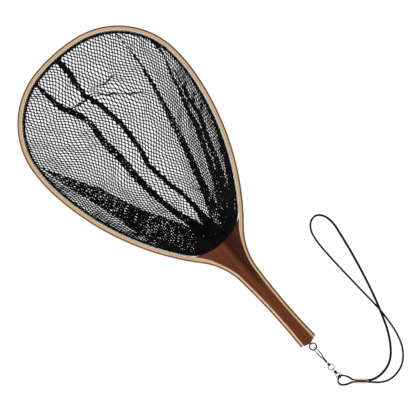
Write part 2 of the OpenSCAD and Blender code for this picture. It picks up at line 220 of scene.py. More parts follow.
def make(name, points, faces, material, body, replaces=(), grain=None):
    """A smooth-shaded piece from points in millimetres and faces of any size, riding on a CAD body.

    grain gives each point its place along, across and through the material, in millimetres."""
    mesh = bpy.data.meshes.new(name)
    sizes = np.concatenate([np.full(len(f), f.shape[1], np.int32) for f in faces])
    corners = np.concatenate([np.asarray(f, np.int32).ravel() for f in faces])
    mesh.vertices.add(len(points))
    mesh.vertices.foreach_set("co", (np.asarray(points, float) * MM).astype(np.float32).ravel())
    mesh.loops.add(len(corners))
    mesh.loops.foreach_set("vertex_index", corners)
    mesh.polygons.add(len(sizes))
    mesh.polygons.foreach_set("loop_start", np.concatenate([[0], np.cumsum(sizes)[:-1]]).astype(np.int32))
    mesh.polygons.foreach_set("use_smooth", np.ones(len(sizes), bool))
    mesh.update(calc_edges=True)
    mesh.validate()
    if grain is not None:
        layer = mesh.attributes.new("grain", "FLOAT_VECTOR", "POINT")
        layer.data.foreach_set("vector", np.asarray(grain, np.float32).ravel())
    mesh.materials.append(material)
    piece = bpy.data.objects.new(name, mesh)
    bpy.context.scene.collection.objects.link(piece)
    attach(piece, body)
    if replaces:
        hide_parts(*replaces)
    return piece


def crisp(piece, degrees):
    """Keeps edges sharper than this angle sharp on a smooth-shaded piece."""
    piece.data.set_sharp_from_angle(angle=math.radians(degrees))


def rings_to_faces(rings, sides, closed=False, offset=0):
    """Side faces and end faces of a tube made of rings of vertices, all wound the same way."""
    i = np.arange(rings if closed else rings - 1)[:, None]
    j = np.arange(sides)[None]
    a = i * sides + j
    b = i * sides + (j + 1) % sides
    k = (i + 1) % rings
    c = k * sides + (j + 1) % sides
    d = k * sides + j
    quads = np.stack([a, b, c, d], axis=-1).reshape(-1, 4) + offset
    if closed:
        return quads, np.zeros((0, sides), int)
    first = np.arange(sides)[::-1] + offset
    last = np.arange(sides) + (rings - 1) * sides + offset
    return quads, np.stack([first, last])


def carried_frame(path, closed=False):
    """Tangent and two directions across, carried along a path without twisting."""
    if closed:
        t = unit(np.roll(path, -1, axis=0) - np.roll(path, 1, axis=0))
    else:
        t = unit(np.gradient(path, axis=0))
    seed = np.array([0, 0, 1.0]) if abs(t[0, 2]) < 0.9 else np.array([1.0, 0, 0])
    across = [unit(seed - (seed @ t[0]) * t[0])]
    for tangent in t[1:]:
        across.append(unit(across[-1] - (across[-1] @ tangent) * tangent))
    across = np.array(across)
    return t, across, np.cross(t, across)


class Tubes:
    """Collects round tubes into one mesh."""

    def __init__(self):
        self.points, self.quads, self.caps, self.grain, self.count = [], [], [], [], 0

    def add(self, path, radius, sides=8, closed=False, hang=False):
        """A tube round a path. hang keeps its cross-section level, for twines with sharp bends."""
        path = np.asarray(path, float)
        if hang:
            t = unit(np.gradient(path, axis=0))
            across = unit(np.cross(t, [0.05, 0.02, 1.0]))
            up = np.cross(across, t)
        else:
            t, across, up = carried_frame(path, closed)
        angle = np.linspace(0, 2 * math.pi, sides, endpoint=False)
        radius = np.broadcast_to(radius, len(path))[:, None, None]
        cos, sin = np.cos(angle)[None, :, None], np.sin(angle)[None, :, None]
        ring = cos * across[:, None] + sin * up[:, None]
        self.points.append((path[:, None] + radius * ring).reshape(-1, 3))
        quads, caps = rings_to_faces(len(path), sides, closed, self.count)
        self.quads.append(quads if not hang else quads[:, ::-1])
        self.caps.append(caps if not hang else caps[:, ::-1])
        along = np.repeat(arc_length(path), sides)
        round_it = np.tile(angle, len(path)) * radius[0, 0, 0]
        self.grain.append(np.stack([along, round_it, np.zeros(len(along))], axis=1))
        self.count += len(path) * sides

    def piece(self, name, material, body, slot, replaces=()):
        """All the tubes so far, as one piece."""
        faces = [np.concatenate(self.quads)]
        caps = [c for c in self.caps if len(c)]
        if caps:
            faces.append(np.concatenate(caps))
        return make(name, np.concatenate(self.points), faces, material, body, replaces,
                    np.concatenate(self.grain))


# ---- Materials ----

def linear(*srgb):
    """A colour for a shader, from three sRGB values between 0 and 255."""
    c = np.array(srgb, float) / 255
    out = np.where(c <= 0.04045, c / 12.92, ((c + 0.055) / 1.055) ** 2.4)
    return (*[float(v) for v in out], 1.0)


class Nodes:
    """Short ways to add and join shader nodes."""

    def __init__(self, name):
        self.material = bpy.data.materials.new(name)
        self.material.use_nodes = True
        self.tree = self.material.node_tree
        self.shader = self.tree.nodes["Principled BSDF"]

    def add(self, kind, settings=None, **inputs):
        node = self.tree.nodes.new("ShaderNode" + kind)
        for key, value in (settings or {}).items():
            setattr(node, key, value)
        for key, value in inputs.items():
            self.put(node.inputs[key.replace("_", " ")], value)
        return node

    def put(self, socket, value):
        if hasattr(value, "is_output"):
            self.tree.links.new(value, socket)
        else:
            socket.default_value = value

    def set(self, **inputs):
        for key, value in inputs.items():
            self.put(self.shader.inputs[key.replace("_", " ")], value)

    def grain(self, scale=(1.0, 1.0, 1.0)):
        """A point's place in the material's own directions, scaled."""
        place = self.add("Attribute", {"attribute_name": "grain"}).outputs["Vector"]
        return self.add("Mapping", Vector=place, Scale=scale).outputs["Vector"]

    def along_and_across(self):
        split = self.add("SeparateXYZ", Vector=self.grain())
        return split.outputs["X"], split.outputs["Y"]

    def rise(self, value, start, end, kind="LINEAR"):
        """0 at start, 1 at end; start may be the larger of the two."""
        return self.add("MapRange", {"interpolation_type": kind}, Value=value,
                        From_Min=start, From_Max=end).outputs["Result"]

    def noise(self, vector, scale, detail=3.0, roughness=0.55, distortion=0.0):
        return self.add("TexNoise", Vector=vector, Scale=scale, Detail=detail, Roughness=roughness,
                        Distortion=distortion).outputs["Fac"]

    def ramp(self, factor, stops):
        node = self.add("ValToRGB", Fac=factor)
        ramp = node.color_ramp
        for place, colour in stops[2:]:
            ramp.elements.new(place)
        for element, (place, colour) in zip(ramp.elements, sorted(stops, key=lambda s: s[0])):
            element.position = place
            element.color = colour
        return node.outputs["Color"]

    def math(self, operation, a, b=0.5, c=0.0):
        node = self.add("Math", {"operation": operation})
        for socket, value in zip(node.inputs, (a, b, c)):
            self.put(socket, value)
        return node.outputs[0]

    def blend(self, factor, a, b, mode="MIX"):
        node = self.add("Mix", {"data_type": "RGBA", "blend_type": mode})
        self.put(node.inputs[0], factor)
        self.put(node.inputs[6], a)
        self.put(node.inputs[7], b)
        return node.outputs[2]

    def bump(self, height, distance, strength):
        return self.add("Bump", Height=height, Distance=distance, Strength=strength).outputs["Normal"]


def grey(value):
    return (value, value, value, 1.0)


def wood(name, light, dark, pore, painted_side_shade=None, glue_and_edge_shade=()):
    """Varnished wood: long figure, fine pores along the grain, and a satin coat.

    painted_side_shade is painted shade: it darkens one side of the middle, as on a crowned top turned away
    from the light, increasingly between the two places along that it gives.
    glue_and_edge_shade darkens the wood beside each line given as a distance in from the outer face: glue
    lines, and, where asked, the inner face, where the darkening is painted shade along the inner edge."""
    n = Nodes(name)
    figure = n.noise(n.grain((0.018, 0.35, 0.25)), 1.0, 4.0, 0.6, 1.2)
    bands = n.noise(n.grain((0.006, 1.1, 0.8)), 1.6, 2.0, 0.5, 0.6)
    pores = n.noise(n.grain((0.09, 5.0, 5.0)), 1.2, 2.0, 0.7)
    colour = n.ramp(figure, [(0.3, dark), (0.7, light)])
    colour = n.blend(n.math("MULTIPLY", bands, 0.4), colour, n.blend(0.5, light, dark))
    pore_mask = n.ramp(pores, [(0.56, grey(0.0)), (0.68, grey(1.0))])
    colour = n.blend(n.math("MULTIPLY", pore_mask, 0.6), colour, pore)
    # Painted shade on one side of the middle, standing for the side of the core's crowned top that is turned
    # away from the light.
    if painted_side_shade:
        along, across = n.along_and_across()
        side = n.rise(across, -1.0, 6.0, "SMOOTHSTEP")
        reach = n.rise(along, *painted_side_shade, "SMOOTHSTEP")
        far = n.rise(across, 16.0, 40.0, "SMOOTHSTEP")
        near_middle = n.math("MULTIPLY", n.math("SUBTRACT", 1.0, n.math("MULTIPLY", far, 0.6)), side)
        shaded = n.blend(1.0, colour, linear(150, 118, 112), "MULTIPLY")
        colour = n.blend(n.math("MULTIPLY", near_middle, reach), colour, shaded)
    # Dark lines: glue joints, and where asked painted shade along the wood's inner edge.
    for line in glue_and_edge_shade:
        _, depth = n.along_and_across()
        off = n.math("ABSOLUTE", n.math("SUBTRACT", depth, line))
        colour = n.blend(n.math("MULTIPLY", n.rise(off, 0.6, 0.25), 0.75), colour, pore)
    roughness = n.math("MULTIPLY_ADD", figure, 0.18, 0.34)
    height = n.math("ADD", n.math("MULTIPLY", pore_mask, -1.0), n.math("MULTIPLY", figure, 0.5))
    n.set(Base_Color=colour, Roughness=roughness, Coat_Weight=0.04, Coat_Roughness=0.25,
          Normal=n.bump(height, 0.00006, 0.6), Specular_IOR_Level=0.12)
    return n.material


def braid(name, colour, pitch, twist, sheen, depth):
    """Braided or laid cord: two sets of slanting strands crossing each other.

    pitch is in mm, twist is how steeply the strands slant, and depth in metres is how far they stand out."""
    n = Nodes(name)
    along, around = n.along_and_across()
    k = 2 * math.pi / pitch
    slope = n.math("MULTIPLY", around, twist)
    one = n.math("SINE", n.math("MULTIPLY", n.math("ADD", along, slope), k))
    two = n.math("SINE", n.math("MULTIPLY", n.math("SUBTRACT", along, slope), k))
    weave = n.math("MAXIMUM", one, two)
    fuzz = n.noise(n.grain(), 2.5, 4.0, 0.7)
    height = n.math("ADD", weave, n.math("MULTIPLY", fuzz, 0.6))
    # Painted shade: the cord's colour is darker in the grooves between its strands.
    shade = n.math("MULTIPLY_ADD", weave, 0.1, 0.9)
    between = n.add("CombineColor", Red=shade, Green=shade, Blue=shade).outputs[0]
    n.set(Base_Color=n.blend(1.0, colour, between, "MULTIPLY"),
          Roughness=n.math("MULTIPLY_ADD", fuzz, 0.25, 0.45),
          Sheen_Weight=sheen, Sheen_Roughness=0.4,
          Normal=n.bump(height, depth, 0.8), Specular_IOR_Level=0.14)
    return n.material


def metal(name, colour, roughness, wear=None, scratches=0.3, metallic=1.0, seam=None):
    """Plated metal with faint scratches, smudges and, if asked, wear showing through and painted shade along
    a seam.
    """
    n = Nodes(name)
    place = n.add("TexCoord").outputs["Object"]
    stretched = n.add("Mapping", Vector=place, Scale=(1.0, 12.0, 1.0)).outputs["Vector"]
    smudge = n.noise(place, 315.0, 3.0, 0.6)
    scratch = n.noise(stretched, 900.0, 4.0, 0.7)
    tone = colour
    if wear:
        mask = n.ramp(n.noise(place, 540.0, 5.0, 0.7), [(0.6, grey(0.0)), (0.72, grey(1.0))])
        tone = n.blend(n.math("MULTIPLY", mask, 0.55), colour, wear)
    # Painted shade darkening the crease along the seam, where the two lobes meet.
    if seam:
        _, from_seam = n.along_and_across()
        seam_shade = n.rise(from_seam, 0.36, 0.26)
        tone = n.blend(n.math("MULTIPLY", seam_shade, 0.95), tone, seam)
    relief = n.math("ADD", scratch, n.math("MULTIPLY", smudge, 0.4))
    n.set(Base_Color=tone, Metallic=metallic,
          Roughness=n.math("MULTIPLY_ADD", smudge, 0.25, roughness - 0.12),
          Specular_IOR_Level=0.25, Normal=n.bump(relief, 0.00002, scratches))
    return n.material


netting = braid("netting", linear(8, 8, 9), 1.6, 1.0, 0.01, 0.00004)
rope = braid("rope", linear(6, 6, 6), 1.1, 1.2, 0.0, 0.00003)
lace = braid("lace", linear(8, 8, 9), 0.9, 1.0, 0.01, 0.00004)
black_steel = metal("black_steel", linear(6, 6, 7), 0.46, linear(46, 46, 49), metallic=0.2)
bright_steel = metal("bright_steel", linear(60, 61, 64), 0.34)
# Brass, with painted shade along the ferrule's seam.
brass = metal("brass", linear(252, 238, 192), 0.4, linear(214, 186, 122), scratches=0.5, metallic=0.25,
              seam=linear(44, 24, 8))


# ---- The wood's outline, from the frame ----

_, wood_l, half_t = box_mm("outer_lamination")[1]
BUTT_SPACING = (0.0, 0.25, 0.6, 1.1, 1.7)  # closely spaced cross-sections where the butt is rounded
SPACING = 2.6  # between cross-sections elsewhere


def strip_outer_edge():
    """The outer edge of the outer strip, from the left butt corner round the hoop to the right one."""
    loop = top_loop("outer_lamination")
    ends = []
    for side in (-1, 1):
        mine = [i for i in range(len(loop)) if loop[i, 0] * side > 0]
        lowest = sorted(mine, key=lambda i: loop[i, 1])[:2]
        ends.append(sorted(lowest, key=lambda i: -abs(loop[i, 0])))
    (left, left_inner), (right, _) = ends
    turn = -1 if (left + 1) % len(loop) == left_inner else 1
    path = [loop[left]]
    i = left
    while i != right:
        i = (i + turn) % len(loop)
        path.append(loop[i])
    return np.array(path)


def stations_along(path):
    """Places along the outline, close together near the butt, their outward normals and distances along."""
    fine = smooth_path(path, 0.5)
    length = arc_length(fine)
    total = length[-1]
    near_end = np.array(BUTT_SPACING)
    inner = np.linspace(SPACING, total - SPACING, int(total / SPACING))
    at = np.concatenate([near_end, inner, total - near_end[::-1]])
    place = np.stack([np.interp(at, length, fine[:, k]) for k in (0, 1)], axis=1)
    slope = [np.interp(at, length, np.gradient(fine[:, k], length)) for k in (0, 1)]
    tangent = unit(np.stack(slope, axis=1))
    return place, np.stack([-tangent[:, 1], tangent[:, 0]], axis=1), at


station, outward, station_at = stations_along(strip_outer_edge())
butt_slope = station[-1, 1] / abs(station[-1, 0])

# Depths in from the outer face at which each strip starts, and at which the innermost one ends
tan_d = wood_l - box_mm("middle_lamination")[1][1]
pale_d = wood_l - box_mm("inner_lamination")[1][1]
pale_loop = top_loop("inner_lamination")
inside_y = pale_loop[abs(pale_loop[:, 0]) < 0.01][:, 1].min()
inside_d = wood_l - inside_y

# The pale strip thins out to nothing beside the core, over this length
feather_end = pale_loop[:, 1].min()
FEATHER_RISE = 30.0

# The core's end is hollowed to an arc between its two tips
core_loop = top_loop("handle_core")
tip = core_loop[core_loop[:, 0].argmax()]
end_arc = core_loop[(abs(core_loop[:, 0]) < tip[0] - 1) & (core_loop[:, 1] > tip[1] - 13)]
hollow_bottom = end_arc[abs(end_arc[:, 0]).argmin()][1]
hollow_depth = tip[1] - hollow_bottom
hollow_r = (tip[0] ** 2 + hollow_depth**2) / (2 * hollow_depth)
hollow_c = np.array([0, hollow_bottom + hollow_r])

# From the rim cord's centre line to the wood
_, rim_far_side, rim_cord_r = box_mm("rim_cord")[1]
rim_gap = inside_y - rim_far_side + rim_cord_r

glue_lines = (float(tan_d), float(pale_d))
dark_wood = wood("dark_wood", linear(158, 98, 58), linear(104, 55, 28), linear(52, 24, 10))
tan_wood = wood("tan_wood", linear(242, 212, 168), linear(216, 180, 132), linear(120, 84, 48),
                glue_and_edge_shade=glue_lines)
# Light ash like the middle strip, painted paler still: a painted highlight along the hoop's rounded top.
pale_wood = wood("pale_wood", linear(252, 247, 228), linear(236, 227, 200), linear(130, 100, 62),
                 # The line at inside_d is painted shade along the wood's inner edge, not a glue line.
                 glue_and_edge_shade=glue_lines + (float(inside_d),))
# The core's wood, with painted shade on one side of its crowned top.
core_wood = wood("core_wood", linear(136, 70, 36), linear(74, 33, 15), linear(34, 11, 4),
                 painted_side_shade=(95.0, 150.0))

# How the wood's edges are rounded: (reach in from the edge, drop), on the hoop and on the handle
HOOP_ROUND = (2.6, 2.3)
GRIP_ROUND = (10.0, 4.2)
INNER_ROUND = 1.4
BUTT_ROUND = 1.4
HOLLOW_ROUND = (2.4, 2.0)
HANDLE_TO_HOOP = (110, 235)  # the rounding changes from the handle's to the hoop's between these heights


def quarter(distance, reach, drop):
    """How far a rounded edge falls away, at a distance in from the edge."""
    t = np.clip((reach - distance) / np.maximum(reach, 1e-6), 0, 1)
    return drop * (1 - np.sqrt(1 - t * t))


def crowned_height(y, d):
    """Half the wood's depth, d in from its outer face, with only its outer edge rounded."""
    grip = 1 - smooth_step(y, *HANDLE_TO_HOOP)
    reach, drop = (mix(on_hoop, on_grip, grip) for on_hoop, on_grip in zip(HOOP_ROUND, GRIP_ROUND))
    return half_t - quarter(d, reach, drop)


def butt_drop(x, y):
    """How far the rounding of the butt takes the surface down."""
    return quarter(y - butt_slope * abs(x), BUTT_ROUND, BUTT_ROUND)


def wood_height(x, y, d):
    """Half the depth of the strips at (x, y), d in from their outer face."""
    beyond_core = smooth_step(y, tip[1] - 4, tip[1] + 12)
    z = crowned_height(y, d) - beyond_core * quarter(inside_d - d, INNER_ROUND, INNER_ROUND)
    return z - butt_drop(x, y)


def pale_inner_d(y):
    """Depth of the pale strip's inner edge."""
    return mix(pale_d, inside_d, np.clip((y - feather_end) / FEATHER_RISE, 0, 1))


# The groove's outline in the outer strip: (share of its depth, share of its half width)
GROOVE = [(0.0, -1.5), (0.18, -1.1), (0.8, -0.8), (1.0, -0.35), (1.0, 0.35), (0.8, 0.8), (0.18, 1.1),
          (0.0, 1.5)]


def strip(name, start, end, spread, material, groove=None, keep=None):
    """One strip of the lamination: a cross-section carried round the outline.

    start and end are depths from the outer face, spread places the points between them, groove is
    (depths, half width), and keep picks the cross-sections of a strip that stops short of the butt."""
    place, normal, at = station, outward, station_at
    if keep is not None:
        place, normal, at = place[keep], normal[keep], at[keep]
    y = place[:, 1]
    d0 = np.broadcast_to(start, len(y))
    d1 = end(y) if callable(end) else np.broadcast_to(end, len(y))
    rows_d, rows_z = [], []
    for s in spread:
        d = mix(d0, d1, s)
        edge = place - normal * d[:, None]
        rows_d.append(d)
        rows_z.append(wood_height(edge[:, 0], edge[:, 1], d))
    top = list(zip(rows_d, rows_z))
    section = top + [(d, -z) for d, z in top[::-1]]
    if groove is not None:
        depth, half_width = groove
        section += [(depth * share, np.full(len(y), rise * half_width)) for share, rise in GROOVE]
    d = np.stack([s[0] for s in section], axis=1)
    z = np.stack([s[1] for s in section], axis=1)
    xy = place[:, None] - normal[:, None] * d[:, :, None]
    if keep is None:
        for end_row in (0, -1):
            xy[end_row, :, 1] = butt_slope * abs(xy[end_row, :, 0])
    points = np.concatenate([xy, z[:, :, None]], axis=2)
    sides = len(section)
    quads, caps = rings_to_faces(len(y), sides)
    grain = np.stack([np.repeat(at, sides), d.ravel(), z.ravel()], axis=1)
    node = name.replace("_strip", "_lamination")
    piece = make(name, points.reshape(-1, 3), [quads, caps], material, "net", (node,), grain)
    crisp(piece, 50)


def make_strips():
    """The three strips. The outer one has a groove, as long as the lacing cord that lies in it."""
    cord_low, cord_high = box_mm("lacing_cord")
    cord_r = cord_high[2]
    groove_depth = 2 * (wood_l - cord_high[1] + cord_r) * 0.95
    depth = groove_depth * smooth_step(station[:, 1], cord_low[1] - 3, cord_low[1] + 4)
    close_to_start = np.linspace(0, 1, 8) ** 2
    close_to_end = 1 - np.linspace(1, 0, 7) ** 2
    on_hoop = station[:, 1] > feather_end + 0.5
    strip("outer_strip", 0.0, tan_d, close_to_start, dark_wood, (depth, cord_r * 1.25))
    strip("middle_strip", tan_d, pale_d, np.linspace(0, 1, 4), tan_wood)
    strip("inner_strip", pale_d, pale_inner_d, close_to_end, pale_wood, keep=on_hoop)


def core_half_width(y):
    """Half the core's width at a height, where it meets the strips."""
    right = station[:, 0] > 0
    d = pale_inner_d(station[right, 1])
    edge = station[right] - outward[right] * d[:, None]
    edge = edge[edge[:, 1] < tip[1] + 20]
    edge = edge[np.argsort(edge[:, 1])]
    return np.interp(y, edge[:, 1], edge[:, 0])


def distance_to_outline(xy):
    """How far in from the handle's outer face each point is."""
    near = station[station[:, 1] < tip[1] + 60]
    fine = np.concatenate([smooth_path(near[near[:, 0] * side > 0], 0.8) for side in (1, -1)])
    return np.array([np.sqrt(((fine - p) ** 2).sum(axis=1).min()) for p in xy])


def make_core():
    """The core: a crowned board between the strips, with a hollow end and a pointed butt.

    Its top is a grid of points, in columns from the butt to the hollow, and its underside is the same."""
    across = np.sin(np.linspace(-math.pi / 2, math.pi / 2, 57))
    end_gaps = np.array([0, 0.25, 0.6, 1.1, 1.8, 2.6])
    columns = []
    for f in across:
        top = hollow_bottom
        for _ in range(60):
            x = min(abs(f) * core_half_width(top), hollow_r)
            top = hollow_c[1] - math.sqrt(hollow_r**2 - x * x)
        low = butt_slope * abs(f) * core_half_width(3.0)
        y = np.concatenate([low + end_gaps, np.linspace(low + 4, top - 4, 84), top - end_gaps[::-1]])
        columns.append(np.stack([f * core_half_width(y), y], axis=1))
    xy = np.array(columns)
    n_across, n_along = xy.shape[:2]
    d = distance_to_outline(xy.reshape(-1, 2)).reshape(n_across, n_along)
    x, y = xy[:, :, 0], xy[:, :, 1]
    share = np.clip(abs(x) / core_half_width(y), 0, 1)
    dish = 0.9 * smooth_step(y, 105, 175)
    z = crowned_height(y, d) - dish * 0.5 * (1 - np.cos(2 * math.pi * share)) - butt_drop(x, y)
    from_hollow = np.maximum(np.hypot(x - hollow_c[0], y - hollow_c[1]) - hollow_r, 0)
    z = z - quarter(from_hollow, *HOLLOW_ROUND)
    top = np.concatenate([xy, z[:, :, None]], axis=2).reshape(-1, 3)
    points = np.vstack([top, top * [1, 1, -1]])
    count = n_across * n_along
    i = np.arange(n_across - 1)[:, None]
    j = np.arange(n_along - 1)[None]
    a = i * n_along + j
    over = np.stack([a, a + n_along, a + n_along + 1, a + 1], axis=-1).reshape(-1, 4)
    under = over[:, ::-1] + count
    border = np.concatenate([np.arange(n_across) * n_along,
                             (n_across - 1) * n_along + np.arange(1, n_along),
                             np.arange(n_across - 2, -1, -1) * n_along + n_along - 1,
                             np.arange(n_along - 2, 0, -1)])
    ahead = np.roll(border, -1)
    wall = np.stack([border, border + count, ahead + count, ahead], axis=1)
    grain = points[:, [1, 0, 2]]
    faces = [over, under, wall]
    piece = make("core", points, faces, core_wood, "net", ("handle_core",), grain)
    crisp(piece, 50)


# ---- The bag ----

BAG_ROUND = 1.4  # 1 would make the bag a cone, and more makes it rounder
MESH_PITCH = 5.7
TWINE_R = 0.84
TWINE_APART = 0.62  # half the distance between two twines that run side by side

right_rim = rim_line()
rim_far, rim_near = right_rim[0, 1], right_rim[-1, 1]
bag_points = welded("net_bag")[0]
pocket = bag_points[bag_points[:, 2].argmin()]
bag_depth = -pocket[2]
whole_rim = np.vstack([right_rim, (right_rim[1:-1] * [-1, 1, 1])[::-1]])
rim_angle = np.arctan2(whole_rim[:, 0], whole_rim[:, 1] - pocket[1])
rim_reach = np.hypot(whole_rim[:, 0], whole_rim[:, 1] - pocket[1])
by_angle = np.argsort(rim_angle)


def rim_half_width(y):
    """Half the distance across the rim cord at a height."""
    return np.interp(y, right_rim[::-1, 1], right_rim[::-1, 0])


def bag_height(x, y):
    """z of the bag at (x, y): its level loops shrink from the rim towards its lowest point."""
    angle = np.arctan2(x, y - pocket[1])
    reach = np.interp(angle, rim_angle[by_angle], rim_reach[by_angle], period=2 * math.pi)
    share = np.clip(np.hypot(x, y - pocket[1]) / reach, 0, 1)
    return -bag_depth * (1 - share**BAG_ROUND)


def softened(values, reach):
    """The values with their corners rounded off over this many places to each side."""
    kernel = np.hanning(2 * reach + 1) / np.hanning(2 * reach + 1).sum()
    return np.convolve(np.pad(values, reach, "edge"), kernel, "valid")


class Fold:
    """A pleat that runs down the bag, where the cloth turns back over itself once or more.

    Each stop is (y, middle x, width). lift is how far its layers stand apart, pucker how far its
    edges wander, turns how often the cloth turns back, and slant how far its layers slide along."""

    def __init__(self, *stops, lift, pucker=0.0, turns=1, slant=0.0):
        y, middle, width = np.array(sorted(stops)).T
        self.y = np.linspace(y[0], y[-1], 200)
        self.middle = softened(np.interp(self.y, y, middle), 10)
        self.width = softened(np.interp(self.y, y, width), 10)
        self.lift = lift
        self.pucker = pucker
        self.turns = turns
        self.slant = slant

    def edges(self, y):
        middle = np.interp(y, self.y, self.middle) + self.pucker * math.sin(y / 2.3) * math.sin(y / 7.1)
        width = max(np.interp(y, self.y, self.width), 0.0)
        return middle - width / 2, middle + width / 2


LEFT_OVERLAP = Fold(
    (490, -134, 0), (471, -130, 2), (440, -117, 10), (409, -105, 18), (371, -90, 22), (340, -81, 26),
    (305, -69, 30), (274, -56, 37), (255, -46, 38), (235, -36, 34), (215, -26, 26), (204, -14, 14),
    lift=3.0, slant=0.9)
LEFT_CREASE = Fold(
    (586, -52, 3), (569, -52, 6), (529, -48, 10), (502, -35, 10), (486, -29, 9), (448, -34, 12.5),
    (409, -31, 12.5), (371, -33, 11), (325, -29, 9.5), (286, -23, 9.5), (262, -14, 14), (235, -12, 26),
    (215, -10, 26), (204, -6, 16), lift=2.2, turns=2)
MIDDLE_CREASE = Fold(
    (586, -4, 9), (567, -1, 10), (540, -6, 8.5), (517, -8, 8), (500, -1, 8.5), (486, 2, 8), (448, 6, 8),
    (402, 2, 8), (379, -6, 7.5), (340, -2, 8), (298, 6, 7), (263, 6, 9), (235, 4, 20), (215, 3, 26),
    (204, 0, 18), lift=2.2, pucker=0.8, turns=2)
RIGHT_CREASE = Fold(
    (530, 92, 1), (502, 91, 4), (467, 85, 6.5), (421, 74, 9), (386, 66, 10.5), (340, 52, 11.5),
    (294, 39, 11.5), (270, 30, 14), (240, 22, 24), (215, 14, 26), (204, 8, 16), lift=2.4)
RIGHT_OVERLAP_1 = Fold(
    (500, 131, 1), (440, 112, 4), (409, 102.5, 5.5), (372, 93, 7.5), (340, 80.5, 7), (320, 73, 7),
    (300, 65, 7.5), (274, 53, 8.5), (255, 42, 10), (235, 30, 12), (215, 18, 10), (204, 8, 6),
    lift=2.6, slant=-0.7)
RIGHT_OVERLAP_2 = Fold(
    (470, 125, 0), (440, 119, 2.5), (409, 112, 4.5), (372, 105, 6.5), (340, 91.5, 7), (320, 84, 7),
    (300, 76, 7.5), (274, 64.5, 8.5), (255, 53.5, 10), (235, 43, 12), (215, 30, 10), (204, 16, 6),
    lift=2.6, slant=-0.7)
RIGHT_OVERLAP_3 = Fold(
    (430, 136, 0), (390, 128, 6), (354, 119, 9), (330, 108, 9), (305, 95, 9), (285, 84, 9), (262, 70, 9),
    (235, 48, 7), (204, 20, 2), lift=2.2, slant=-0.5)
FOLDS = (LEFT_OVERLAP, LEFT_CREASE, MIDDLE_CREASE, RIGHT_CREASE, RIGHT_OVERLAP_1, RIGHT_OVERLAP_2,
         RIGHT_OVERLAP_3)

# Creases across the bag: start x and y, end x and y, how far each pulls the rows together, and its width
CREASES = ((-36, 518, 0, 512, 7, 7), (8, 505, 66, 464, 7, 7), (4, 520, 52, 511, 6, 11),
           (18, 300, 40, 290, 4, 8))


def cross_section(y):
    """The bag's cross-section at one height.

    Gives the distance along it from the middle crease, x, z, and how far a slanted pleat slides the rows."""
    half = rim_half_width(y)
    edges, lifts, slants = [-half], [0.0], [0.0]
    for fold in FOLDS:
        low, high = sorted(np.clip(fold.edges(y), -half + 0.4, half - 0.4))
        if fold is MIDDLE_CREASE:
            middle = len(edges)
        edges += [high, low] * fold.turns
        slide = fold.slant * (high - low) / 2
        slants += [slide, -slide] * fold.turns
        apart = fold.lift * smooth_step(high - low, 0.2, 3.0)
        lifts += list(apart * np.linspace(1, -1, 2 * fold.turns))
    edges, lifts, slants = edges + [half], lifts + [0.0], slants + [0.0]
    x, lift, slant, starts = [], [], [], []
    for k in range(len(edges) - 1):
        a, b = edges[k], edges[k + 1]
        reach = max(abs(b - a), 1e-6)
        t = np.linspace(0, 1, max(2, int(abs(b - a) / 0.4) + 1), endpoint=False)
        starts.append(sum(len(r) for r in x))
        x.append(mix(a, b, t))
        turned_back = b < a
        if turned_back:
            lift.append(mix(lifts[k], lifts[k + 1], t))
            slant.append(mix(slants[k], slants[k + 1], t))
        else:
            flat = min(reach / 2, max(8.0, reach - 30))
            fade_in = 1 - smooth_step(t * reach, 0, reach - flat)
            fade_out = smooth_step(t * reach, flat, reach)
            lift.append(lifts[k] * fade_in + lifts[k + 1] * fade_out)
            slant.append(slants[k] * fade_in + slants[k + 1] * fade_out)
    x = np.concatenate(x + [[half]])
    lift = np.concatenate(lift + [[0.0]])
    slant = np.concatenate(slant + [[0.0]])
    to_end = np.minimum(np.arange(len(x)), np.arange(len(x))[::-1])
    inside = smooth_step(to_end, 0, 6)
    x = mix(x, softened(x, 4), inside)
    lift = softened(lift, 4) * inside
    z = bag_height(x, y) + lift
    along = np.concatenate([[0], np.cumsum(np.hypot(np.diff(x), np.diff(z)))])
    last = middle + 2 * MIDDLE_CREASE.turns - 1
    return along - (along[starts[middle]] + along[starts[last]]) / 2, x, z, slant


def row_places():
    """Places along the bag's middle line, from the far end to the handle, and their heights y."""
    y = np.linspace(rim_far - 0.5, rim_near + 0.5, 3000)
    z = bag_height(np.zeros(len(y)), y)
    along = np.concatenate([[0], np.cumsum(np.hypot(np.diff(y), np.diff(z)))])
    return along, y


def crease_across(x, y):
    """How far the creases across the bag slide its rows, and how far they lift it."""
    slide, lift = 0.0, 0.0
    for x0, y0, x1, y1, pull, spread in CREASES:
        there = smooth_step(x, x0 - 6, x0 + 8) * (1 - smooth_step(x, x1 - 14, x1 + 8))
        off = (y - y0 - (y1 - y0) * (x - x0) / (x1 - x0)) / spread
        slide = slide - pull * there * off * np.exp(0.5 - off**2 / 2)
        lift = lift + 2.4 * there * np.exp(-(off**2))
    return slide, lift


def joined_to_rim(path, rim):
    """A twine's path, with each end that is near the rim cord carried on to it."""
    joins = []
    for end in (path[0], path[-1]):
        nearest = rim[((rim - end) ** 2).sum(axis=1).argmin()]
        joins.append([nearest] if np.linalg.norm(nearest - end) < 9 else [])
    return np.vstack(joins[0] + [path] + joins[1])


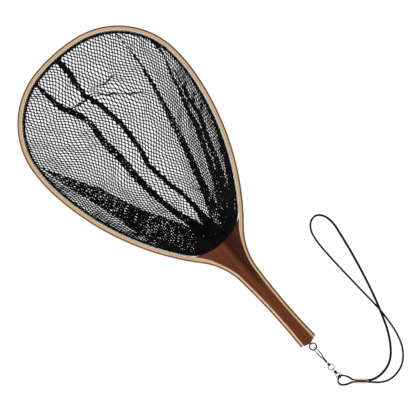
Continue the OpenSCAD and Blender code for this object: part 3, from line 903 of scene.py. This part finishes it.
def make_netting():
    """Knotless netting: zigzag twines, each joined in turn to the twine on its left and on its right.

    Every row of the mesh has two lines of points, where a pair of twines meets and where it parts."""
    row = MESH_PITCH * math.sqrt(3) / 2
    bar = MESH_PITCH / math.sqrt(3) * 0.8
    half = MESH_PITCH / 2
    along, y_line = row_places()
    lines = []
    for j in range(int(along[-1] / row)):
        for end in (-1, 1):
            y = float(np.interp((j + 0.5) * row + end * bar / 2, along, y_line))
            lines.append((j, end, y, cross_section(y)))
    reach = max(max(-s[0], s[-1]) for _, _, _, (s, *_) in lines)
    most = int(reach / half) + 2
    twine = np.arange(-most, most + 1)
    grid = np.full((len(lines), len(twine), 3), np.nan)
    for k, (j, end, y, (s, section_x, section_z, slant)) in enumerate(lines):
        own = (twine - j) % 2 == 0
        at = np.where(own, twine, twine + 1) * half + np.where(own, TWINE_APART, -TWINE_APART)
        at = at + 0.5 * slow_noise(at, y, 26, 3) + rng.normal(0, 0.12, len(at))
        x = np.interp(at, s, section_x, left=np.nan, right=np.nan)
        z = np.interp(at, s, section_z, left=np.nan, right=np.nan)
        over_and_under = np.where(own, 1, -1) * end * 0.22
        z = z + over_and_under + 0.9 * slow_noise(at, y, 34, 5) + rng.normal(0, 0.08, len(at))
        inside = smooth_step(rim_half_width(y) - abs(x), 0, 14)
        slide, lift = crease_across(x, y)
        drift = 2.0 * slow_noise(at, y, 44, 9) + np.interp(at, s, slant) + slide
        grid[k, :, 0] = x
        grid[k, :, 1] = y + inside * drift + rng.normal(0, 0.08, len(at))
        grid[k, :, 2] = z + lift
    tubes = Tubes()
    rim = smooth_path(whole_rim, 1.0, closed=True)
    for column in range(len(twine)):
        path = grid[:, column]
        there = ~np.isnan(path[:, 0])
        changes = np.flatnonzero(np.diff(np.concatenate([[0], there.astype(int), [0]])))
        for start, stop in zip(changes[::2], changes[1::2]):
            if stop - start > 1:
                tubes.add(joined_to_rim(path[start:stop], rim), TWINE_R, 5, hang=True)
    tubes.piece("netting", netting, "net", "netting", ("net_bag",))


# ---- Cords ----

CORD_R = 1.2  # of the wrist cord where it is pinched


def outward_of(path):
    """Level directions out of a closed path that runs clockwise seen from above."""
    ahead = np.roll(path, -1, axis=0) - np.roll(path, 1, axis=0)
    return unit(np.stack([-ahead[:, 1], ahead[:, 0], np.zeros(len(path))], axis=1))


def make_rim():
    """The rim cord, laid from three strands, and the thread wound round it that reaches the wood."""
    path = smooth_path(whole_rim, 1.2, closed=True)
    path = path + 0.4 * outward_of(path)
    cord_r = rim_cord_r + 0.5
    strand_r = cord_r * 0.52
    lay = 9.0  # length of one turn of the strands
    _, across, up = carried_frame(path, closed=True)
    length = arc_length(np.vstack([path, path[:1]]))
    turns = round(length[-1] / lay)
    cord = Tubes()
    for strand in range(3):
        angle = 2 * math.pi * (turns * length[:-1] / length[-1] + strand / 3)
        off = np.cos(angle)[:, None] * across + np.sin(angle)[:, None] * up
        cord.add(path + off * strand_r, strand_r, 8, closed=True)
    cord.piece("rim_cord_laid", rope, "net", "cord", ("rim_cord",))

    fine = smooth_path(whole_rim, 0.22, closed=True)
    length = arc_length(np.vstack([fine, fine[:1]]))
    thread_r = 0.42
    thread_pitch = 1.9
    inner = cord_r + thread_r - 0.2
    outer = rim_gap - thread_r - 0.05
    angle = 2 * math.pi * round(length[-1] / thread_pitch) * length[:-1] / length[-1]
    sway = (outer - inner) / 2 + (outer + inner) / 2 * np.cos(angle)
    rise = inner * np.sin(angle)
    thread = Tubes()
    wound = fine + sway[:, None] * outward_of(fine) + rise[:, None] * [0, 0, 1.0]
    thread.add(wound, thread_r, 5, closed=True)
    thread.piece("rim_whipping", lace, "net", "cord")


def make_lacing():
    """The cord in the hoop's groove, and at each hole a tie from the wood round the rim cord."""
    cord = Tubes()
    cord.add(smooth_path(open_tube_line("lacing_cord"), 3.0), box_mm("lacing_cord")[1][2], 8)
    cord.piece("groove_cord", lace, "net", "cord", ("lacing_cord",))

    tie_r = 0.55
    coil_r = rim_cord_r + tie_r + 0.1
    coil_turns = 2.5
    coil_pitch = 1.15
    turn = np.linspace(0, coil_turns, 36)
    shift = (turn - coil_turns / 2) * coil_pitch
    up = np.array([0, 0, 1.0])
    rim = smooth_path(whole_rim, 0.5, closed=True)
    ties = Tubes()
    for solid in separate_solids("lacing_loops"):
        at = rim[((rim - solid.mean(axis=0)) ** 2).sum(axis=1).argmin()]
        nearest = ((station - at[:2]) ** 2).sum(axis=1).argmin()
        out = np.array([*outward[nearest], 0.0])
        along = np.array([-out[1], out[0], 0.0])
        around = 2 * math.pi * turn
        coil = (at + along * shift[:, None]
                + coil_r * (np.cos(around)[:, None] * out + np.sin(around)[:, None] * up))
        depth = inside_d + coil_r
        leg = np.array([at + out * (coil_r + 0.2 + depth * share) + along * shift[0] * (1 - share)
                        for share in (0.62, 0.4, 0.15)])
        ties.add(smooth_path(np.vstack([leg, coil]), 0.6), tie_r, 6)
    ties.piece("lacing_ties", lace, "net", "cord", ("lacing_loops",))


def make_wrist_cord():
    """The wrist cord, pinched at its knot and its sleeve, and fuller on the strand that comes back."""
    path = smooth_path(open_tube_line("wrist_cord"), 1.2)
    free = 1.0
    for holder in ("triangle_link", "crimp_ferrule"):
        centre = sum(box_mm(holder)) / 2
        free = free * smooth_step(np.linalg.norm(path - centre, axis=1), 9, 15)
    coming_back = smooth_step(np.linspace(0.0, 1.0, len(path)), 0.57, 0.68)
    cord = Tubes()
    cord.add(path, CORD_R + free * (0.3 + 0.35 * coming_back), 14)
    cord.piece("wrist_loop_cord", rope, "wrist_loop", "cord", ("wrist_cord",))


def make_ferrule():
    """The brass sleeve: two lobes with painted shade in the crease between them, flared ends and three
    crimped dents.
    """
    points, _ = welded("crimp_ferrule")
    middle = points.mean(axis=0)
    _, _, axes = np.linalg.svd((points - middle)[:, :2], full_matrices=False)
    along = np.array([*axes[0], 0.0])
    side = np.array([*axes[1], 0.0])
    half_length = abs((points - middle) @ along).max()
    half_width = abs((points - middle) @ side).max()
    half_height = abs(points[:, 2]).max()
    lobe_apart = half_width - half_height
    angle = np.linspace(0, 2 * math.pi, 48, endpoint=False)
    cos = np.cos(angle)
    lobe = np.where(cos >= 0, 1, -1) * smooth_step(abs(cos), 0.0, 0.35)
    outline_side = lobe_apart * lobe + half_height * cos
    outline_up = half_height * np.sin(angle) * (1 - 0.45 * np.exp(-((cos / 0.24) ** 2)))
    flare = [(0.93, 0.97), (0.985, 1.0), (1.0, 0.9), (1.0, 0.62)]
    stops = [(-s, scale) for s, scale in flare[::-1]]
    stops += [(s, 0.955) for s in np.linspace(-0.88, 0.88, 41)]
    stops += flare
    rings = []
    for s, scale in stops:
        dent = sum(math.exp(-(((s - c) / 0.12) ** 2)) for c in (-0.45, 0.0, 0.45))
        across = outline_side * scale * (1 + 0.01 * dent)
        up = outline_up * scale * (1 - 0.06 * dent)
        rings.append(middle + along * (s * half_length) + np.outer(across, side) + np.outer(up, [0, 0, 1.0]))
    mouth_depth = 1.2
    rings[0] = rings[0] + along * mouth_depth
    rings[-1] = rings[-1] - along * mouth_depth
    faces = rings_to_faces(len(rings), len(angle))
    from_seam = np.tile(abs(cos), len(rings))
    grain = np.stack([from_seam * 0, from_seam, from_seam * 0], axis=1)
    piece = make("ferrule", np.vstack(rings), faces, brass, "wrist_loop", ("crimp_ferrule",), grain)
    crisp(piece, 45)


# ---- Metal fittings ----

def make_snap():
    """The snap's two wires, thinner where they pass through the screw eye, so that the snap can swing."""
    eye_edge = box_mm("screw_eye")[0][1]
    for node, body, name in (("snap_hook", "snap", "snap_wire"), ("snap_gate", "gate", "gate_wire")):
        path = smooth_path(open_tube_line(node), 0.5)
        beyond_eye = smooth_step(eye_edge - path[:, 1], -0.5, 8)
        wire = Tubes()
        wire.add(path, 0.5 + 0.38 * beyond_eye, 14)
        wire.piece(name, black_steel, body, "black_steel", (node,))


def dress(name, material):
    """A CAD node that is shown as it is, with a finished material."""
    node = nodes[name]
    node.data.materials.clear()
    node.data.materials.append(material)


def dress_fittings():
    """Materials for the small fittings whose CAD shape is shown."""
    for name in ("screw_eye", "swivel_barrel", "swivel_eye_block", "rear_swivel_eye", "rear_swivel_barrel"):
        dress(name, black_steel)
    for name in ("swivel_pin", "link_ring", "triangle_link"):
        dress(name, bright_steel)


# ---- Stage, light and camera ----

def make_stage():
    """A pale floor below the bag, which looks white to the camera but throws less light on the net."""
    n = Nodes("floor")
    seen = n.add("LightPath").outputs["Is Camera Ray"]
    n.set(Base_Color=grey(0.2), Roughness=1.0, Specular_IOR_Level=0.0, Emission_Color=grey(1.0),
          Emission_Strength=n.math("MULTIPLY_ADD", seen, 0.6, 0.3))
    mesh = bpy.data.meshes.new("floor")
    reach = 6.0
    level = -bag_depth * MM - 0.12
    corners = [(x * reach, y * reach, level) for x, y in ((-1, -1), (1, -1), (1, 1), (-1, 1))]
    mesh.from_pydata(corners, [], [(0, 1, 2, 3)])
    mesh.materials.append(n.material)
    floor = bpy.data.objects.new("floor", mesh)
    bpy.context.scene.collection.objects.link(floor)


def area_light(name, place, target, size, power):
    """A round soft light, aimed at the target."""
    light = bpy.data.lights.new(name, "AREA")
    light.shape = "DISK"
    light.size = size
    light.energy = power
    thing = bpy.data.objects.new(name, light)
    bpy.context.scene.collection.objects.link(thing)
    thing.location = place
    aim = np.array(target) - np.array(place)
    thing.rotation_euler = Vector(aim).to_track_quat("-Z", "Y").to_euler()


def make_light():
    """An even pale surround, brighter to the camera than to the net, and two soft lights."""
    world = bpy.data.worlds.new("studio")
    bpy.context.scene.world = world
    world.use_nodes = True
    sky = world.node_tree.nodes["Background"]
    seen = world.node_tree.nodes.new("ShaderNodeLightPath").outputs["Is Camera Ray"]
    strength = world.node_tree.nodes.new("ShaderNodeMath")
    strength.operation = "MULTIPLY_ADD"
    strength.inputs[1].default_value = 0.6
    strength.inputs[2].default_value = 0.4
    world.node_tree.links.new(seen, strength.inputs[0])
    world.node_tree.links.new(strength.outputs[0], sky.inputs["Strength"])
    sky.inputs["Color"].default_value = (1, 1, 1, 1)
    centre = (0.0, 0.3, 0.0)
    area_light("key", (-1.4, 0.0, 1.6), centre, 1.2, 22)
    area_light("fill", (0.9, 1.2, 1.8), centre, 1.6, 9)


def make_camera():
    """Straight above the net, turned so that the handle points to the lower right."""
    camera = bpy.data.cameras.new("camera")
    sensor = 36
    view_width = 0.6417
    distance = 3.0
    camera.sensor_width = sensor
    camera.lens = sensor * distance / view_width
    camera.clip_end = 50
    thing = bpy.data.objects.new("camera", camera)
    bpy.context.scene.collection.objects.link(thing)
    thing.location = (0.0203, 0.2608, distance)
    thing.rotation_euler = (0, 0, math.radians(-41.5))
    bpy.context.scene.camera = thing
    bpy.context.scene.view_settings.view_transform = "Standard"


make_strips()
make_core()
make_netting()
make_rim()
make_lacing()
make_wrist_cord()
make_ferrule()
make_snap()
dress_fittings()
make_stage()
make_light()
make_camera()
